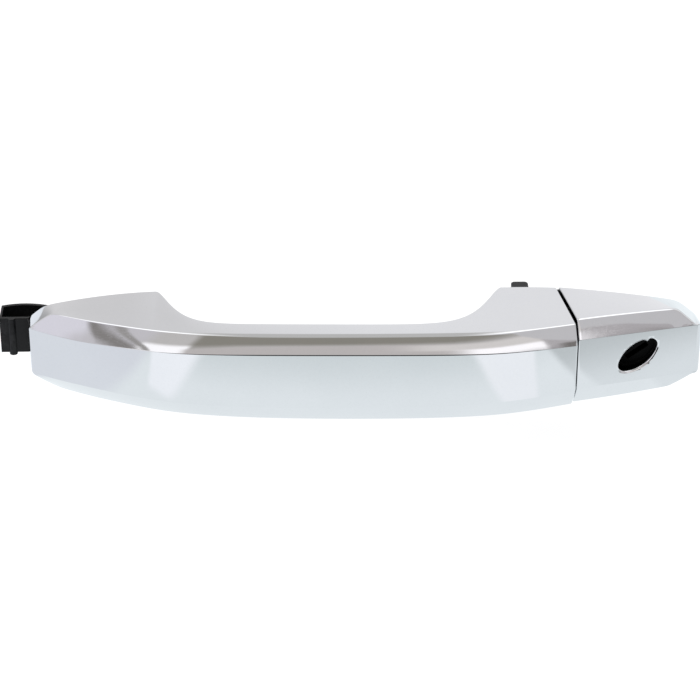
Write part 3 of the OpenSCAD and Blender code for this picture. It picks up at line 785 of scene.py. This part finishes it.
def key_place(u, v, y):
    """From the keyhole's own long and short axes to X, Y, Z."""
    c, s = math.cos(KEY_TILT), math.sin(KEY_TILT)
    return (KEY_X + u * c - v * s, y, KEY_Z + u * s + v * c)


def keyhole_rings():
    """Outlines of the hole, from inside the cap up its wall and round its soft edge to in front of the face."""
    plain = oval_points(KEY_LENGTH, KEY_WIDTH, 26)
    outline = []
    for u, v in plain:
        tooth = math.exp(-((u - 6.1) / 0.6) ** 2) if v > 0 else 0.0
        outline.append((u - 0.4 * tooth, v - 0.9 * tooth))
    steps = [(0.0, 12.0), (0.0, KEY_ROUND)]
    for k in range(1, 6):
        a = math.radians(16 * k)
        steps.append((KEY_ROUND * (1 - math.cos(a)), KEY_ROUND * (1 - math.sin(a))))
    steps.append((KEY_ROUND * 1.6, -1.0))
    count = len(plain)
    rings = []
    for grow, depth in steps:
        ring = []
        for i, (u, v) in enumerate(outline):
            before, after = Vector(plain[i - 1]), Vector(plain[(i + 1) % count])
            along = (after - before).normalized()
            x, _, z = key_place(u + along.y * grow, v - along.x * grow, 0.0)
            ring.append((x, SEAT_Y - cap_depth(x) + depth, z))
        rings.append(ring)
    return rings


def cut_keyhole(piece):
    """Takes the keyhole out of the cap, soft edge and all."""
    tool = object_from("keyhole tool", lofted("keyhole tool", keyhole_rings()))
    cut = piece.modifiers.new("keyhole", "BOOLEAN")
    cut.operation = "DIFFERENCE"
    cut.solver = "EXACT"
    cut.object = tool
    bpy.context.view_layer.update()
    made = bpy.data.meshes.new_from_object(piece.evaluated_get(bpy.context.evaluated_depsgraph_get()))
    piece.modifiers.clear()
    piece.data = made
    bpy.data.objects.remove(tool)


cap_chrome = object_from("cap_chrome", cap_mesh())
cut_keyhole(cap_chrome)
soften(cap_chrome)
finish_piece(cap_chrome, "chrome", "carrier", ["cap_shell"])


# ---------------------------------------------------------------- moulded and metal pieces

for node, slot, width in (
        ("grip_liner", "black_plastic", 0.25), ("grip_core", "black_plastic", 0.3),
        ("hinge_arm", "black_plastic", 0.4), ("hinge_bush", "ivory_plastic", 0.3),
        ("rear_leg", "black_plastic", 0.35), ("foot_pads", "rubber", 0.2),
        ("grip_screw_front", "zinc_steel", 0.18), ("grip_screw_rear", "zinc_steel", 0.18),
        # The key guide takes the darker copy of black plastic: painted shade inside the keyhole.
        ("cap_frame", "black_plastic", 0.35), ("key_guide", "keyhole_shade_plastic", 0.15),
        ("front_gasket", "rubber", 0.35), ("rear_gasket", "rubber", 0.35),
        ("carrier", "black_plastic", 0.35), ("hinge_pin", "zinc_steel", 0.25),
        ("cap_screw", "zinc_steel", 0.3), ("screw_insert", "brass", 0.2),
        ("lock_housing", "die_cast", 0.25), ("lock_clip", "spring_steel", 0.2),
        ("lock_plug", "die_cast", 0.2), ("tail_lever", "zinc_steel", 0.25),
        ("crank_axle", "zinc_steel", 0.2), ("axle_clip", "spring_steel", 0.1),
        ("bellcrank", "dark_plastic", 0.3), ("counterweight", "zinc_steel", 0.3),
        ("rod_clip", "ivory_plastic", 0.2)):
    dressed(node, slot, width)


# ---------------------------------------------------------------- grown pieces

CRANK_Y, CRANK_Z = 15.85, -26.0
SCREW_Y, SCREW_Z = 6.0, -15.4


class Grower(Web):
    """Geometry tree that ends in realised, smooth geometry with one material."""

    def __init__(self, name, inputs):
        group = bpy.data.node_groups.new(name, "GeometryNodeTree")
        group.interface.new_socket("Geometry", in_out="INPUT", socket_type="NodeSocketGeometry")
        for label, kind in inputs:
            group.interface.new_socket(label, in_out="INPUT", socket_type=kind)
        group.interface.new_socket("Geometry", in_out="OUTPUT", socket_type="NodeSocketGeometry")
        super().__init__(group)
        self.given = self.node("NodeGroupInput")

    def end(self, geometry):
        smooth = self.node("GeometryNodeSetShadeSmooth")
        self.wire(geometry, smooth.inputs["Geometry"])
        real = self.node("GeometryNodeRealizeInstances")
        self.wire(smooth.outputs[0], real.inputs[0])
        paint = self.node("GeometryNodeSetMaterial")
        self.wire(real.outputs[0], paint.inputs["Geometry"])
        self.wire(self.given.outputs["Material"], paint.inputs["Material"])
        out = self.node("NodeGroupOutput")
        self.wire(paint.outputs[0], out.inputs["Geometry"])
        return self.tree

    def tube(self, curve, radius, sides=12):
        ring = self.node("GeometryNodeCurvePrimitiveCircle")
        ring.inputs["Resolution"].default_value = sides
        self.wire(radius, ring.inputs["Radius"])
        skin = self.node("GeometryNodeCurveToMesh")
        self.wire(curve, skin.inputs["Curve"])
        self.wire(ring.outputs[0], skin.inputs["Profile Curve"])
        skin.inputs["Fill Caps"].default_value = True
        return skin.outputs[0]


def coil_tree():
    """Round wire wound along Z from the origin, with a straight leg at each end."""
    numbers = [(label, "NodeSocketFloat") for label in ("Turns", "Radius", "Wire", "Length")]
    legs = [(label, "NodeSocketVector") for label in ("First Leg", "Last Leg")]
    g = Grower("coil", numbers + legs + [("Material", "NodeSocketMaterial")])
    wound = g.node("GeometryNodeCurveSpiral")
    wound.inputs["Resolution"].default_value = 40
    for label in ("Start Radius", "End Radius"):
        g.wire(g.given.outputs["Radius"], wound.inputs[label])
    g.wire(g.given.outputs["Turns"], wound.inputs["Rotations"])
    g.wire(g.given.outputs["Length"], wound.inputs["Height"])
    parts = g.node("GeometryNodeJoinGeometry")
    g.wire(wound.outputs[0], parts.inputs[0])
    for leg, height in (("First Leg", 0.0), ("Last Leg", g.given.outputs["Length"])):
        foot = g.node("ShaderNodeCombineXYZ")
        g.wire(g.given.outputs["Radius"], foot.inputs[0])
        g.put(height, foot.inputs[2])
        tip = g.node("ShaderNodeVectorMath", operation="ADD")
        g.wire(foot.outputs[0], tip.inputs[0])
        g.wire(g.given.outputs[leg], tip.inputs[1])
        line = g.node("GeometryNodeCurvePrimitiveLine")
        g.wire(foot.outputs[0], line.inputs["Start"])
        g.wire(tip.outputs[0], line.inputs["End"])
        g.wire(line.outputs[0], parts.inputs[0])
    return g.end(g.tube(parts.outputs[0], g.given.outputs["Wire"]))


def bead_tree():
    """Round bead along the object's own closed line of edges, its corners rounded."""
    g = Grower("bead", [("Corner", "NodeSocketFloat"), ("Wire", "NodeSocketFloat"),
                        ("Material", "NodeSocketMaterial")])
    path = g.node("GeometryNodeMeshToCurve")
    g.wire(g.given.outputs["Geometry"], path.inputs[0])
    bent = g.node("GeometryNodeFilletCurve")
    g.wire(path.outputs[0], bent.inputs["Curve"])
    g.wire(g.given.outputs["Corner"], bent.inputs["Radius"])
    even = g.node("GeometryNodeResampleCurve")
    g.wire(bent.outputs[0], even.inputs["Curve"])
    even.inputs["Count"].default_value = 160
    return g.end(g.tube(even.outputs[0], g.given.outputs["Wire"], 10))


def grown(name, tree, start, values):
    """Mesh of a geometry tree run on a start mesh; values are its named inputs."""
    seed = object_from(name + " seed", start)
    work = seed.modifiers.new("grow", "NODES")
    work.node_group = tree
    for item in tree.interface.items_tree:
        if item.in_out == "INPUT" and item.name in values:
            work[item.identifier] = values[item.name]
    bpy.context.view_layer.update()
    made = bpy.data.meshes.new_from_object(seed.evaluated_get(bpy.context.evaluated_depsgraph_get()))
    bpy.data.objects.remove(seed)
    made.name = name
    return made


ALONG_X = Matrix(((0, 0, 1), (1, 0, 0), (0, 1, 0))).to_4x4()
COIL = coil_tree()
BEAD = bead_tree()
NO_LEG = (0, 0, 0.01)


def coil(name, slot, at, radius, wire, length, turns, first=NO_LEG, last=NO_LEG):
    """Wire wound along X from a point."""
    mesh = grown(name, COIL, bpy.data.meshes.new("empty"), {
        "Turns": turns, "Radius": radius * MM, "Wire": wire * MM, "Length": length * MM,
        "First Leg": [v * MM for v in first], "Last Leg": [v * MM for v in last], "Material": FINISHES[slot]})
    mesh.transform(Matrix.Translation(Vector(at) * MM) @ ALONG_X)
    return mesh


def bead(name, slot, outline, y, corner, wire):
    """Closed bead; the outline is given as X and Z."""
    count = len(outline)
    start = bpy.data.meshes.new("line")
    points = [Vector((x, y, z)) * MM for x, z in outline]
    start.from_pydata(points, [(i, (i + 1) % count) for i in range(count)], [])
    return grown(name, BEAD, start, {"Corner": corner * MM, "Wire": wire * MM, "Material": FINISHES[slot]})


# Wound round the bellcrank's hub and turned over, so that its first leg rests under the carrier.
spring = coil("return_spring_coil", "spring_steel", (60.6, CRANK_Y, CRANK_Z), radius=4.75, wire=0.45, length=5.4,
              turns=4.0, first=(0.0, 3.9, 0.0), last=(-4.2, -4.6, 0.0))
hub = Vector((0, CRANK_Y, CRANK_Z)) * MM
spring.transform(Matrix.Translation(hub) @ Matrix.Rotation(math.pi, 4, "X") @ Matrix.Translation(-hub))
finish_piece(object_from("return_spring_finished", spring), "spring_steel", BODY_OF["return_spring"],
             ["return_spring"])

thread = coil("cap_screw_thread", "zinc_steel", (114.9, SCREW_Y, SCREW_Z), radius=2.05, wire=0.22, length=3.9,
              turns=5.5)
finish_piece(object_from("cap_screw_thread", thread), "zinc_steel", BODY_OF["cap_screw"], [])

# Sealing beads, a little inside the gaskets' outlines and on the side of the door skin.
FRONT_BEAD = [(-111.5, 4.2), (-107.6, 7.6), (-97.8, 10.5), (-71.0, 12.0),
              (-71.0, -12.0), (-97.8, -10.5), (-107.6, -7.6), (-111.5, -4.2)]
REAR_BEAD = [(56.0, 14.0), (75.9, 14.0), (111.6, 8.4), (117.5, 4.1),
             (117.5, -4.1), (111.6, -8.4), (75.9, -14.0), (56.0, -14.0)]
GASKET_BACK_Y, BEAD_CORNER, BEAD_RADIUS = -0.95, 1.6, 0.42
for gasket, outline in (("front_gasket", FRONT_BEAD), ("rear_gasket", REAR_BEAD)):
    line = bead(gasket + "_bead", "rubber", outline, GASKET_BACK_Y, BEAD_CORNER, BEAD_RADIUS)
    finish_piece(object_from(gasket + "_bead", line), "rubber", BODY_OF[gasket], [])
